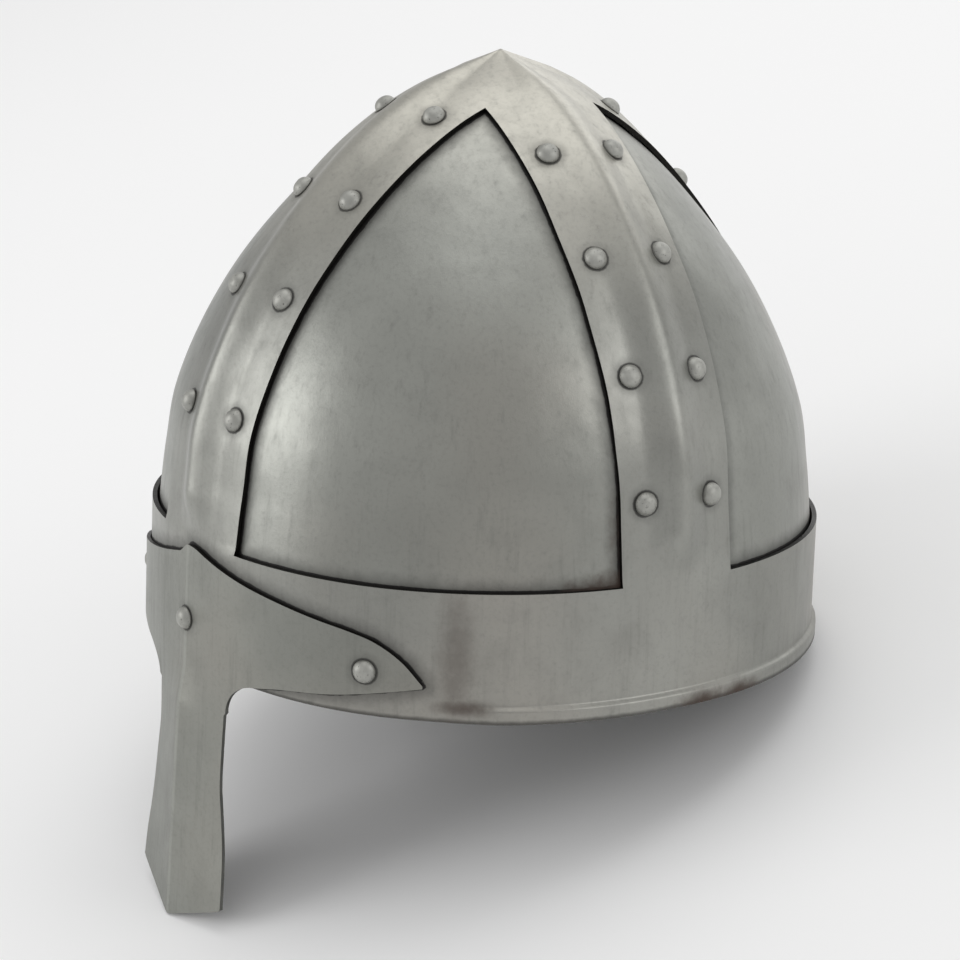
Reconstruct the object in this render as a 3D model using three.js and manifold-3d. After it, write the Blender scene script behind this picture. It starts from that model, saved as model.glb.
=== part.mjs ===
// A riveted iron helmet of the spangenhelm kind: a one-piece cage of brow band and four crossed ribs,
// with four infill plates behind its windows and a winged nasal guard over the brow, all held by domed
// rivets. It is drawn upright, brow towards -Y and the wearer's left towards +X, with the rim at height 0.
// The finished helmet is then tipped back until it rests on its nasal's tip and on the rim at the nape.
import * as THREE from "three";
import { mergeVertices } from "three/addons/utils/BufferGeometryUtils.js";
import Module from "manifold-3d";

// Skull, in millimetres and measured outside
const BAND_WIDTH = 210;
const BAND_LENGTH = 215.4;
const BAND_HEIGHT = 39.4;
const DOME_HEIGHT = 145.8;
const FRAME_SHEET = 1.5;

// Rim: the band widens a little downwards and its foot is turned out as a lip, which runs out in degrees
// before it comes to the nasal's wings
const BAND_FLARE = 0.6;
const LIP_HEIGHT = 4.8;
const LIP_REACH = 1.5;
const LIP_RUN_OUT = 14;

// Plan shape: 2 is an ellipse, more is squarer, and less draws the section out towards the four ribs
const BAND_EXPONENT = 2.12;
const SHOULDER_EXPONENT = 2.06;
const CROWN_EXPONENT = 1.6;

// Ribs and the fold that runs down the middle of each
const LONG_RIB_WIDTH = 45;
const CROSS_RIB_WIDTH = 40.4;
const RIDGE_WIDTH = 19;
const RIDGE_HEIGHT = 3.9;
const RIDGE_RUN_OUT = 15;
const RIDGE_RUN_IN = 7.3;
const RIDGE_EXPONENT = 1.25;

// Infill plates, behind the frame and tucked under its edges, with a bulge that fills their windows
const PLATE_SHEET = 1.5;
const PLATE_BULGE = 1.6;
const PLATE_TUCK = 14;
const PLATE_SPACING = 13;
const PLATE_GAP = 0.5;

// Rivets, with the same clearance between any two pieces that meet
const SEAM_GAP = 0.3;
const HEAD_RADIUS = 3.6;
const HEAD_HEIGHT = 2.5;
const SHANK_RADIUS = 1.6;
const TAIL_RADIUS = 3.1;
const TAIL_HEIGHT = 0.9;
const TAIL_GAP = 1;
const LONG_RIVET_OFFSET = 14.1;
const CROSS_RIVET_OFFSET = 12.1;

// Nasal guard, whose right wing sits lower than the left one, a difference that runs in over some degrees
const NASAL_SHEET = 1.2;
const NASAL_DROP = 83.8;
const NASAL_POINT = 9.5;
const NASAL_WIDTH = 51.4;
const NASAL_LEAN = 8.6;
const NECK_WIDTH = 41.6;
const FILLET_RADIUS = 12;
const RIM_CLEARANCE = 1;
const WING_REACH = 47.3;
const WING_SINK = 3;
const SINK_RUN_IN = 3;
const WING_RIVET_REACH = 38.2;
const NASAL_RIVET_HEIGHT = 14;

// Dome profile: radius, as a share of the band's, at shares of the dome's height
const DOME_PROFILE = [
  { height: 0, radius: 1 },
  { height: 0.12, radius: 0.981 },
  { height: 0.25, radius: 0.958 },
  { height: 0.4, radius: 0.886 },
  { height: 0.55, radius: 0.775 },
  { height: 0.7, radius: 0.616 },
  { height: 0.82, radius: 0.452 },
  { height: 0.92, radius: 0.254 },
  { height: 1, radius: 0 },
];

// How much of a plate's bulge there is at shares of its window's height
const BULGE_PROFILE = [
  { height: 0, bulge: 0.35 },
  { height: 0.12, bulge: 0.9 },
  { height: 0.3, bulge: 1 },
  { height: 0.7, bulge: 0.8 },
  { height: 1, bulge: 0 },
];

// Rivet heights on each rib, as shares of the dome's height
const RIB_RIVETS = [
  { long: 0.271, cross: 0.167 },
  { long: 0.514, cross: 0.414 },
  { long: 0.709, cross: 0.63 },
  { long: 0.875, cross: 0.818 },
];

// Nasal blade below the neck: shares of its drop, its half width and, for crest and edge, its forward lean
const BLADE = [
  { drop: 0.16, width: 0.81, crest: 0.57, edge: 0 },
  { drop: 0.34, width: 0.79, crest: 0.67, edge: 0.06 },
  { drop: 0.47, width: 0.81, crest: 0.74, edge: 0.14 },
  { drop: 0.61, width: 0.87, crest: 0.81, edge: 0.17 },
  { drop: 0.74, width: 0.93, crest: 0.88, edge: 0.22 },
  { drop: 0.88, width: 0.98, crest: 0.95, edge: 0.33 },
  { drop: 1, width: 1, crest: 1, edge: 0.42 },
];

// Wing edges: heights, as shares of the band's, at shares of the wing's reach
const WING_TOP = [
  { reach: 0, height: 0.95 },
  { reach: 0.05, height: 0.945 },
  { reach: 0.12, height: 0.909 },
  { reach: 0.205, height: 0.865 },
  { reach: 0.313, height: 0.817 },
  { reach: 0.48, height: 0.754 },
  { reach: 0.62, height: 0.698 },
  { reach: 0.757, height: 0.642 },
  { reach: 0.844, height: 0.581 },
  { reach: 0.93, height: 0.457 },
  { reach: 1, height: 0.285 },
];
const WING_FOOT = [
  { reach: 0.3, height: 0 },
  { reach: 0.375, height: 0.022 },
  { reach: 0.497, height: 0.076 },
  { reach: 0.693, height: 0.132 },
  { reach: 0.907, height: 0.223 },
  { reach: 1, height: 0.264 },
];

// Places of the columns that draw the fold, as shares of its half width from foot to crest, of the
// nasal's columns across its neck, round its fillet and along its wing, and of the rivet head's shoulder
const FOLD_COLUMNS = [1, 0.6, 0.25];
const NECK_COLUMNS = [0, 0.25, 0.5, 0.75, 1];
const FILLET_COLUMNS = [0.25, 0.5, 0.75, 1];
const WING_COLUMNS = [0.2, 0.38, 0.55, 0.7, 0.82, 0.91, 1];
const HEAD_SHOULDER = { radius: 0.74, height: 0.68 };

// Mesh fineness
const WINDOW_ROWS = 8;
const CROWN_ROWS = 4;
const WINDOW_STEPS = 6;
const WING_ROWS = 3;
const HOLE_SIDES = 6;
const RIVET_SIDES = 9;

const APEX_HEIGHT = BAND_HEIGHT + DOME_HEIGHT;
const HOLE_RADIUS = (SHANK_RADIUS + SEAM_GAP) / Math.cos(Math.PI / HOLE_SIDES);
const RIB_COUNT = 4;
const QUARTER = (2 * Math.PI) / RIB_COUNT;
const SMALLEST = 1e-6;
const { clamp, lerp, smoothstep, degToRad } = THREE.MathUtils;

const wasm = await Module();
wasm.setup();

// A smooth curve through the rows of a table, read at one value of its first column
function readTable(rows, from, to, value) {
  const at = clamp(value, rows[0][from], rows[rows.length - 1][from]);
  const last = rows.length - 2;
  const i = clamp(rows.findIndex((row) => row[from] > at) - 1, 0, last);
  const slot = at >= rows[rows.length - 1][from] ? last : i;
  const slope = (k) => {
    const a = rows[Math.max(k - 1, 0)];
    const b = rows[Math.min(k + 1, rows.length - 1)];
    return (b[to] - a[to]) / (b[from] - a[from]);
  };
  const [low, high] = [rows[slot], rows[slot + 1]];
  const run = high[from] - low[from];
  const s = (at - low[from]) / run;
  const rise = (high[to] - low[to]) * s * s * (3 - 2 * s);
  return low[to] + rise + run * s * (1 - s) * ((1 - s) * slope(slot) - s * slope(slot + 1));
}

// Height where a falling function of height passes a value
function heightWhere(measure, value) {
  let [low, high] = [BAND_HEIGHT, APEX_HEIGHT];
  while (high - low > SMALLEST) {
    const middle = (low + high) / 2;
    if (measure(middle) > value) low = middle;
    else high = middle;
  }
  return low;
}

// The horizontal section at a height: half sizes along X and Y and the exponent of its outline
function section(z, footExponent) {
  const share = clamp((z - BAND_HEIGHT) / DOME_HEIGHT, 0, 1);
  const size = Math.max(readTable(DOME_PROFILE, "height", "radius", share), SMALLEST);
  const exponent = share > 0 ? lerp(SHOULDER_EXPONENT, CROWN_EXPONENT, share) : footExponent;
  return { x: (BAND_WIDTH / 2) * size, y: (BAND_LENGTH / 2) * size, exponent };
}

function skinPoint(angle, z, footExponent) {
  const { x, y, exponent } = section(z, footExponent);
  const reach = (value) => Math.sign(value) * Math.abs(value) ** (2 / exponent);
  return new THREE.Vector3(x * reach(Math.cos(angle)), y * reach(Math.sin(angle)), z);
}

// The skin's outward normal, from small steps to both sides and down
function skinNormal(angle, z, footExponent) {
  const [turn, rise] = [0.002, 0.05];
  if (z > APEX_HEIGHT - rise) return new THREE.Vector3(0, 0, 1);
  const high = Math.max(z, rise);
  const across = skinPoint(angle + turn, z, footExponent).sub(skinPoint(angle - turn, z, footExponent));
  const up = skinPoint(angle, high, footExponent).sub(skinPoint(angle, high - rise, footExponent));
  return across.cross(up).normalize();
}

const RIB_NAMES = ["left", "back", "right", "front"];
const isLong = (rib) => rib % 2 === 1;
const ribHalf = (rib) => (isLong(rib) ? LONG_RIB_WIDTH : CROSS_RIB_WIDTH) / 2;

// How much of its full width a rib keeps at a height: above the windows the ribs run into each other
function ribShare(z) {
  const { x, y, exponent } = section(z, BAND_EXPONENT);
  const sum = (ribHalf(1) / x) ** exponent + (ribHalf(0) / y) ** exponent;
  return Math.min(1, sum ** (-1 / exponent));
}

// The angle on the section of a point that lies a distance to one side of a rib's middle
function ribAngle(rib, offset, z, footExponent) {
  const { x, y, exponent } = section(z, footExponent);
  const share = clamp(Math.abs(offset) / (isLong(rib) ? x : y), 0, 1);
  return rib * QUARTER + Math.sign(offset) * Math.asin(share ** (exponent / 2));
}

// How far the fold stands out of its rib, measured level, at an offset from the rib's middle
function ridgeLift(offset, z) {
  const across = clamp(1 - Math.abs(offset) / (RIDGE_WIDTH / 2), 0, 1);
  const foot = clamp((z - BAND_HEIGHT) / RIDGE_RUN_OUT, 0, 1);
  const head = clamp((APEX_HEIGHT - z) / RIDGE_RUN_IN, 0, 1);
  return RIDGE_HEIGHT * across ** RIDGE_EXPONENT * foot * head;
}

const flareReach = (z) => BAND_FLARE * clamp(1 - z / BAND_HEIGHT, 0, 1);

// How far the band's foot stands out at a point: the lip starts behind the nasal's wings
function bandReach({ x, y, z }) {
  const turn = Math.atan2(Math.abs(x), -y);
  const share = smoothstep(turn, degToRad(WING_REACH), degToRad(WING_REACH + LIP_RUN_OUT));
  return flareReach(z) + LIP_REACH * share * clamp(1 - z / LIP_HEIGHT, 0, 1);
}

// A sheet's corner: its outer point and the inner one behind it
function corner(point, normal, out, thickness) {
  const outer = point.clone().addScaledVector(normal, out);
  return { outer, inner: outer.clone().addScaledVector(normal, -thickness) };
}

// A cell is split along its outer diagonal, so that both faces of a rounded sheet stay full
function turnedToBulge(cell) {
  if (cell.length < 4) return cell;
  const out = cell[0].outer.clone().sub(cell[0].inner);
  const stand = (i) => out.dot(cell[i].outer) + out.dot(cell[i + 2].outer);
  return stand(0) < stand(1) ? [...cell.slice(1), cell[0]] : cell;
}

// Closes a sheet of cells, each a ring of corners that runs anticlockwise seen from outside. Corners in one
// place are one, and an edge that belongs to a single cell gets a wall.
function sheetGeometry(cells) {
  const points = [];
  const known = new Map();
  const indexOf = ({ outer, inner }) => {
    const key = outer.toArray().map((value) => value.toFixed(3)).join();
    if (!known.has(key)) {
      known.set(key, points.length / 2);
      points.push(outer, inner);
    }
    return known.get(key);
  };
  const triangles = [];
  const edges = new Map();
  for (const cell of cells) {
    const turned = turnedToBulge(cell).map(indexOf);
    const ring = turned.filter((value, i) => value !== turned[(i + 1) % turned.length]);
    for (let i = 1; i < ring.length - 1; i++) {
      const [a, b, c] = [ring[0], ring[i], ring[i + 1]].map((value) => value * 2);
      triangles.push(a, b, c, a + 1, c + 1, b + 1);
    }
    if (ring.length < 3) continue;
    ring.forEach((a, i) => edges.set(a + " " + ring[(i + 1) % ring.length], a));
  }
  for (const [key, from] of edges) {
    const to = Number(key.split(" ")[1]);
    if (edges.has(to + " " + from)) continue;
    const [a, b] = [from * 2, to * 2];
    triangles.push(b, a, a + 1, b, a + 1, b + 1);
  }
  const geometry = new THREE.BufferGeometry().setFromPoints(points);
  return geometry.setIndex(triangles);
}

// Cells between neighbouring rows, lowest first, each a list of corners from left to right seen from outside
function cellsBetween(rows) {
  return rows.slice(1).flatMap((upper, i) =>
    upper.slice(1).map((_, j) => [rows[i][j], rows[i][j + 1], upper[j + 1], upper[j]]),
  );
}

function toSolid(geometry) {
  const bare = geometry.clone();
  bare.deleteAttribute("normal");
  bare.deleteAttribute("uv");
  const merged = mergeVertices(bare);
  return new wasm.Manifold(
    new wasm.Mesh({
      numProp: 3,
      vertProperties: new Float32Array(merged.getAttribute("position").array),
      triVerts: new Uint32Array(merged.index.array),
    }),
  );
}

// Drills the rivets' clearance holes through a sheet, well past both faces of every stack
function drill(geometry, rivets) {
  const depth = 4 * (FRAME_SHEET + PLATE_SHEET + NASAL_SHEET);
  const drilled = rivets.reduce((solid, { point, normal }) => {
    const bit = new THREE.CylinderGeometry(HOLE_RADIUS, HOLE_RADIUS, depth, HOLE_SIDES);
    const turn = new THREE.Quaternion().setFromUnitVectors(new THREE.Vector3(0, 1, 0), normal);
    bit.applyQuaternion(turn).translate(point.x, point.y, point.z);
    return solid.subtract(toSolid(bit));
  }, toSolid(geometry));
  const { vertProperties, triVerts } = drilled.getMesh();
  const cut = new THREE.BufferGeometry();
  cut.setAttribute("position", new THREE.BufferAttribute(vertProperties, 3));
  return cut.setIndex(new THREE.BufferAttribute(triVerts, 1));
}

const windowTop = heightWhere((z) => {
  const { x, y, exponent } = section(z, BAND_EXPONENT);
  return 1 - (ribHalf(1) / x) ** exponent - (ribHalf(0) / y) ** exponent;
}, 0);

// Evenly spaced values from one to another, both included
function spaced(from, to, steps) {
  return Array.from({ length: steps + 1 }, (_, i) => lerp(from, to, i / steps));
}

const windowRows = spaced(BAND_HEIGHT, windowTop, WINDOW_ROWS);
const crownRows = spaced(windowTop, APEX_HEIGHT, CROWN_ROWS).slice(1);

// Angles from one window edge to the next
function windowAngles(rib, z, footExponent) {
  const next = (rib + 1) % RIB_COUNT;
  const share = ribShare(z);
  const start = ribAngle(rib, ribHalf(rib) * share, z, footExponent);
  const end = ribAngle(next, -ribHalf(next) * share, z, footExponent) + (next === 0 ? 2 * Math.PI : 0);
  return spaced(start, end, WINDOW_STEPS);
}

// Offsets of a rib's columns from its middle: window edge, and the fold's foot, flank and crest
function ribColumns(rib) {
  const right = [ribHalf(rib), ...FOLD_COLUMNS.map((share) => (share * RIDGE_WIDTH) / 2)];
  return [...right.map((offset) => -offset), 0, ...right.reverse()];
}

function frameCorner(rib, offset, z) {
  const angle = ribAngle(rib, offset * ribShare(z), z, BAND_EXPONENT);
  const point = skinPoint(angle, z, BAND_EXPONENT);
  const normal = skinNormal(angle, z, BAND_EXPONENT);
  const level = Math.hypot(normal.x, normal.y);
  return corner(point, normal, bandReach(point) + ridgeLift(offset, z) * level, FRAME_SHEET);
}

// The band between two ribs, from one window edge to the next
function bandRow(rib, z) {
  const next = (rib + 1) % RIB_COUNT;
  const between = windowAngles(rib, z, BAND_EXPONENT).slice(1, -1).map((angle) => {
    const point = skinPoint(angle, z, BAND_EXPONENT);
    return corner(point, skinNormal(angle, z, BAND_EXPONENT), bandReach(point), FRAME_SHEET);
  });
  return [frameCorner(rib, ribHalf(rib), z), ...between, frameCorner(next, -ribHalf(next), z)];
}

function frameGeometry() {
  const bandRows = [0, LIP_HEIGHT, (LIP_HEIGHT + BAND_HEIGHT) / 2, BAND_HEIGHT];
  const ribRows = [...bandRows, ...windowRows.slice(1), ...crownRows];
  const ribRow = (rib, z) => ribColumns(rib).map((offset) => frameCorner(rib, offset, z));
  const cells = RIB_NAMES.flatMap((_, rib) => [
    ...cellsBetween(ribRows.map((z) => ribRow(rib, z))),
    ...cellsBetween(bandRows.map((z) => bandRow(rib, z))),
  ]);
  return sheetGeometry(cells);
}

// How far a plate stands out at a share of the way across its window and at a height
function plateBulge(across, z) {
  const up = (z - BAND_HEIGHT) / (windowTop - BAND_HEIGHT);
  const arch = clamp(1 - (2 * across - 1) ** 2, 0, 1);
  return PLATE_BULGE * arch * readTable(BULGE_PROFILE, "height", "bulge", up);
}

// The plate between two ribs reaches under the frame all round
function plateGeometry(rib) {
  const next = (rib + 1) % RIB_COUNT;
  const tucked = [PLATE_SPACING / 2, RIDGE_WIDTH / 2];
  const rows = [BAND_HEIGHT - PLATE_TUCK, ...windowRows, crownRows[0]].map((z) => {
    const angles = [
      ...tucked.map((offset) => ribAngle(rib, offset * ribShare(z), z, SHOULDER_EXPONENT)),
      ...windowAngles(rib, z, SHOULDER_EXPONENT),
      ...tucked.map((offset) => ribAngle(next, -offset * ribShare(z), z, SHOULDER_EXPONENT)).reverse(),
    ];
    return angles.map((angle, i) => {
      const across = (i - tucked.length) / WINDOW_STEPS;
      const out = plateBulge(across, z) - FRAME_SHEET - PLATE_GAP;
      const point = skinPoint(angle, z, SHOULDER_EXPONENT);
      return corner(point, skinNormal(angle, z, SHOULDER_EXPONENT), out, PLATE_SHEET);
    });
  });
  return sheetGeometry(cellsBetween(rows));
}

// Band outline in plan at an angle from the brow, with its outward normal
function bandPlan(angle) {
  const [half, front] = [BAND_WIDTH / 2, BAND_LENGTH / 2];
  const share = (value) => Math.abs(value) ** BAND_EXPONENT;
  const reach = (share(Math.sin(angle) / half) + share(Math.cos(angle) / front)) ** (-1 / BAND_EXPONENT);
  const point = new THREE.Vector3(reach * Math.sin(angle), -reach * Math.cos(angle), 0);
  const slope = (value, size) => (Math.sign(value) * Math.abs(value / size) ** (BAND_EXPONENT - 1)) / size;
  const normal = new THREE.Vector3(slope(point.x, half), slope(point.y, front), 0).normalize();
  return { point, normal };
}

const neckAngle = Math.asin(NECK_WIDTH / BAND_WIDTH);

// Upper and lower edge of the nasal's wings at an angle from the brow
const wingSink = (angle) => WING_SINK * smoothstep(-angle, 0, degToRad(SINK_RUN_IN));
const wingEdge = (rows, angle) =>
  BAND_HEIGHT * readTable(rows, "reach", "height", Math.abs(angle) / degToRad(WING_REACH)) - wingSink(angle);
const wingTop = (angle) => wingEdge(WING_TOP, angle);
const wingFoot = (angle) => wingEdge(WING_FOOT, angle);

// A point of the blade: across is -1 to 1 from edge to edge
function bladePoint(drop, across) {
  const side = Math.abs(across);
  const half = (NASAL_WIDTH / 2) * readTable(BLADE, "drop", "width", drop);
  const crest = NASAL_LEAN * readTable(BLADE, "drop", "crest", drop);
  const edge = NASAL_LEAN * readTable(BLADE, "drop", "edge", drop);
  const fall = NASAL_DROP - NASAL_POINT * side;
  return new THREE.Vector3(across * half, -BAND_LENGTH / 2 - lerp(crest, edge, side), -drop * fall);
}

function wingCorner(angle, z) {
  const { point, normal } = bandPlan(angle);
  return corner(point.setZ(z), normal, flareReach(Math.max(z, 0)) + SEAM_GAP + NASAL_SHEET, NASAL_SHEET);
}

function bladeCorner(drop, across) {
  return corner(bladePoint(drop, across), new THREE.Vector3(0, -1, 0), 0, NASAL_SHEET);
}

// The nasal's columns from its middle to one side, each from its lower end up: first across the neck, then
// round the fillet and along the wing. Below the rim's clearance the wings' curved sheet goes over into the
// flat blade.
function nasalColumns(side) {
  const rim = -RIM_CLEARANCE;
  const up = (angle, low) =>
    spaced(Math.max(low, rim), wingTop(angle), WING_ROWS).map((z) => wingCorner(angle, z));
  const neck = NECK_COLUMNS.map((across) => {
    const angle = side * Math.asin((across * NECK_WIDTH) / BAND_WIDTH);
    return [bladeCorner(BLADE[0].drop, side * across), ...up(angle, rim)];
  });
  const arcRadius = (BAND_WIDTH + BAND_LENGTH) / 4;
  const neckFoot = BLADE[0].drop * (NASAL_DROP - NASAL_POINT);
  const neckSink = bladeCorner(BLADE[0].drop, 1).outer.y - wingCorner(neckAngle, rim).outer.y;
  const fillet = FILLET_COLUMNS.map((share) => {
    const turn = share * QUARTER;
    const angle = side * (neckAngle + (FILLET_RADIUS * (1 - Math.cos(turn))) / arcRadius);
    const low = lerp(-neckFoot, wingFoot(angle), Math.sin(turn));
    const foot = wingCorner(angle, low);
    const sink = clamp((rim - low) / (neckFoot + rim), 0, 1) * neckSink;
    foot.outer.y += sink;
    foot.inner.y += sink;
    return [foot, ...up(angle, low)];
  });
  const filletEnd = neckAngle + FILLET_RADIUS / arcRadius;
  const wing = WING_COLUMNS.map((share) => {
    const angle = side * lerp(filletEnd, degToRad(WING_REACH), share);
    const low = wingFoot(angle);
    return [wingCorner(angle, low), ...up(angle, low)];
  });
  return [...neck, ...fillet, ...wing];
}

function nasalGeometry() {
  const columns = [...nasalColumns(-1).slice(1).reverse(), ...nasalColumns(1)];
  const wingRows = columns[0].map((_, row) => columns.map((column) => column[row]));
  const across = [...NECK_COLUMNS.slice(1).reverse().map((share) => -share), ...NECK_COLUMNS];
  const bladeRows = BLADE.map(({ drop }) => across.map((share) => bladeCorner(drop, share))).reverse();
  return sheetGeometry([...cellsBetween(wingRows), ...cellsBetween(bladeRows)]);
}

// A rivet on +Z: flat tail inside the stack of sheets, shank through it and domed head outside
function rivetGeometry(stack) {
  const inner = -stack - TAIL_GAP;
  const profile = [
    [0, inner - TAIL_HEIGHT],
    [TAIL_RADIUS, inner],
    [SHANK_RADIUS, inner],
    [SHANK_RADIUS, SEAM_GAP],
    [HEAD_RADIUS, SEAM_GAP],
    [HEAD_RADIUS * HEAD_SHOULDER.radius, SEAM_GAP + HEAD_HEIGHT * HEAD_SHOULDER.height],
    [0, SEAM_GAP + HEAD_HEIGHT],
  ];
  const points = profile.map(([radius, height]) => new THREE.Vector2(radius, height));
  return new THREE.LatheGeometry(points, RIVET_SIDES).rotateX(QUARTER);
}

const SIDE_NAMES = { "-1": "a", 1: "b" };

function ribRivets() {
  return RIB_NAMES.flatMap((name, rib) =>
    RIB_RIVETS.flatMap((heights, level) =>
      [-1, 1].map((side) => {
        const z = BAND_HEIGHT + DOME_HEIGHT * (isLong(rib) ? heights.long : heights.cross);
        const offset = side * (isLong(rib) ? LONG_RIVET_OFFSET : CROSS_RIVET_OFFSET);
        const angle = ribAngle(rib, offset, z, BAND_EXPONENT);
        return {
          name: `rivet_${name}_${SIDE_NAMES[side]}${level + 1}`,
          point: skinPoint(angle, z, BAND_EXPONENT),
          normal: skinNormal(angle, z, BAND_EXPONENT),
          stack: FRAME_SHEET + PLATE_GAP + PLATE_SHEET,
        };
      }),
    ),
  );
}

function nasalRivets() {
  const places = { right: -WING_RIVET_REACH, middle: 0, left: WING_RIVET_REACH };
  return Object.entries(places).map(([name, reach]) => ({
    name: `rivet_nasal_${name}`,
    point: wingCorner(degToRad(reach), NASAL_RIVET_HEIGHT - wingSink(degToRad(reach))).outer,
    normal: bandPlan(degToRad(reach)).normal,
    stack: NASAL_SHEET + SEAM_GAP + FRAME_SHEET,
  }));
}

const steel = {
  frame: new THREE.MeshStandardMaterial({ color: 0x9a9b95, roughness: 0.42, metalness: 0.9 }),
  plate: new THREE.MeshStandardMaterial({ color: 0x92948e, roughness: 0.38, metalness: 0.9 }),
  nasal: new THREE.MeshStandardMaterial({ color: 0x8b8c86, roughness: 0.45, metalness: 0.9 }),
  rivet: new THREE.MeshStandardMaterial({ color: 0xa9a8a2, roughness: 0.5, metalness: 0.85 }),
};

const helmet = new THREE.Group();

function addPiece(name, geometry, material) {
  const mesh = new THREE.Mesh(geometry, material);
  mesh.name = name;
  helmet.add(mesh);
  return mesh;
}

const onRibs = ribRivets();
const onNasal = nasalRivets();
addPiece("frame", drill(frameGeometry(), [...onRibs, ...onNasal]), steel.frame);
["rear_left", "rear_right", "front_right", "front_left"].forEach((name, rib) =>
  addPiece(`plate_${name}`, drill(plateGeometry(rib), onRibs), steel.plate),
);
addPiece("nasal", drill(nasalGeometry(), onNasal), steel.nasal);
for (const { name, point, normal, stack } of [...onRibs, ...onNasal]) {
  const mesh = addPiece(name, rivetGeometry(stack), steel.rivet);
  mesh.position.copy(point);
  mesh.quaternion.setFromUnitVectors(new THREE.Vector3(0, 0, 1), normal);
}

// Tip the helmet back until the nasal's inner lower edge and the rim at the nape are level, then set it on
// the ground over the origin
const tipForward = BAND_LENGTH / 2 + NASAL_LEAN - NASAL_SHEET;
const napeBehind = BAND_LENGTH / 2 + BAND_FLARE + LIP_REACH;
helmet.rotation.x = -Math.atan2(NASAL_DROP, tipForward + napeBehind);
helmet.updateMatrixWorld(true);
const box = new THREE.Box3().setFromObject(helmet, true);
helmet.position.set(0, -(box.min.y + box.max.y) / 2, -box.min.z);

const part = new THREE.Group();
part.add(helmet);
export default part;
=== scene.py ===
"""A spangenhelm helmet in satin steel: riveted cage, infill plates and winged nasal, resting on a pale floor.

Every piece is drawn upright in metres, rim at height 0, brow towards -Y and the wearer's left towards +X,
and is then tipped back to where the solids rest.
"""

import math
from collections import namedtuple

import bmesh
import bpy
from bpy.props import FloatProperty, FloatVectorProperty, IntProperty, PointerProperty
from mathutils import Matrix, Vector, kdtree, noise


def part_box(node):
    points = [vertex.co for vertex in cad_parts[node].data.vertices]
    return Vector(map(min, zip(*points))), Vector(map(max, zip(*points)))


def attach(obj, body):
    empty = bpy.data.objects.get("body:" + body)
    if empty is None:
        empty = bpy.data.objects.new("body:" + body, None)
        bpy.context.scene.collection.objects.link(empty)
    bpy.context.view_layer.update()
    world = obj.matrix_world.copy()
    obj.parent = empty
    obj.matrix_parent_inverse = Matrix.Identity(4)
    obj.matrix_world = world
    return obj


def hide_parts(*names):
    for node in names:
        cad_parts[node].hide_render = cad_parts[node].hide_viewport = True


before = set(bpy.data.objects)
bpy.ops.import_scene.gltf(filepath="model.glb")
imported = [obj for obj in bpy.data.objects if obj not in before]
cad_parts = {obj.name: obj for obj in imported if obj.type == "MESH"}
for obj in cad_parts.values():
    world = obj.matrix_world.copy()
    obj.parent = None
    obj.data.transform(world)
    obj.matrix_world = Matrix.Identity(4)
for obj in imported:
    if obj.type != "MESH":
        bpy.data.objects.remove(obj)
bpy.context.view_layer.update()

bl_info = {
    "name": "Spangenhelm",
    "version": (1, 0, 0),
    "blender": (4, 5, 0),
    "location": "3D View > Sidebar > Helmet",
    "description": "Builds a riveted steel helmet with crossed ribs, infill plates and a winged nasal",
    "category": "Add Mesh",
}

QUARTER = math.pi / 2
RIB_NAMES = ("left", "back", "right", "front")
PLATE_NAMES = ("rear_left", "rear_right", "front_right", "front_left")

# Stands in for 0 where something is divided by it, and ends a search
SMALLEST = 1e-9

# Distances that the vertices carry: to a seam, negative where covered, to a window's edge and to a rivet
MASKS = ("seam", "edge", "rivet")

# A distance from a window's edge at which a cut edge is left undarkened
UNDARKENED = 0.01

# Vertices closer than this are one, and edges sharper than this are rounded
MERGE_DISTANCE = 2e-6
SHARP_DEGREES = 50

# Material slots of a sheet's inside and of its cut edges
INSIDE_SLOT, EDGE_SLOT = 1, 2

# Power of the curve across a fold, and the heights below the point between which it grows softer
FOLD_POWER = 1.6
SOFT_START, SOFT_END = 0.05, 0.012

# Top of the rolled lip and height of its roll, as shares of the lip's height
LIP_TOP, LIP_ROLL = 1.12, 0.3

# Softness of the blade's crest, as a share of its half width, and spread of the crest over the band
BLADE_SOFTNESS = 0.03
CREST_SPREAD = 1.4

# How far the blade's corners and its whole tip are drawn up, which keeps it off the ground
TIP_CORNER, TIP_LIFT = 0.0005, 0.0001

# Shares of the blade's half width and of its drop from which they are
CORNER_SIDE, CORNER_DROP, LIFT_DROP = 0.93, 0.985, 0.9

# How far a sheet's face lies under the solid's face, so that its unevenness stays inside
FACE_DROP = 0.0002

# Scale and height of the unevenness of the cage and of the plates, and scale of the window edges' straying
CAGE_WAVER = (22, 0.00035)
PLATE_WAVER = (26, 0.0004)
EDGE_WAVER_SCALE = 60

# Places in the noise: steps from rib to rib and from side to side, and seeds of window edges and plates
STRAY_STEP, STRAY_SIDE, STRAY_SEED, PLATE_SEED = 5.1, 2, 1.3, 2.1

# Height over which the straying of the window edges sets in
STRAY_RUN_IN = 0.004

# Width of the rounding of the cage's, the plates' and the nasal's cut edges
CAGE_EDGE, PLATE_EDGE, NASAL_EDGE = 0.00028, 0.0002, 0.00035

# How far the plates reach up from the windows' tops to the point
PLATE_REACH = 0.25

# Heights between the lip's rows on a rib, as shares of the lip's height
LIP_KNOTS = (0.75, 1.3)

# Rows of a rib's grid in the lip, over the lip, in the band, beside the windows and above them
RIB_ROWS = (6, 8, 16, 74, 24)
RIB_COLUMNS, BAND_COLUMNS = 44, 56
PLATE_COLUMNS, PLATE_ROWS = 88, 108
NECK_COLUMNS, FILLET_COLUMNS, WING_COLUMNS = 16, 16, 40
WING_GRID_ROWS, BLADE_GRID_ROWS = 26, 60
HEAD_SIDES = 28

# How evenly a rib's columns are spread: 1 is even, less crowds them towards the fold
RIB_SPREAD = 0.62

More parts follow.
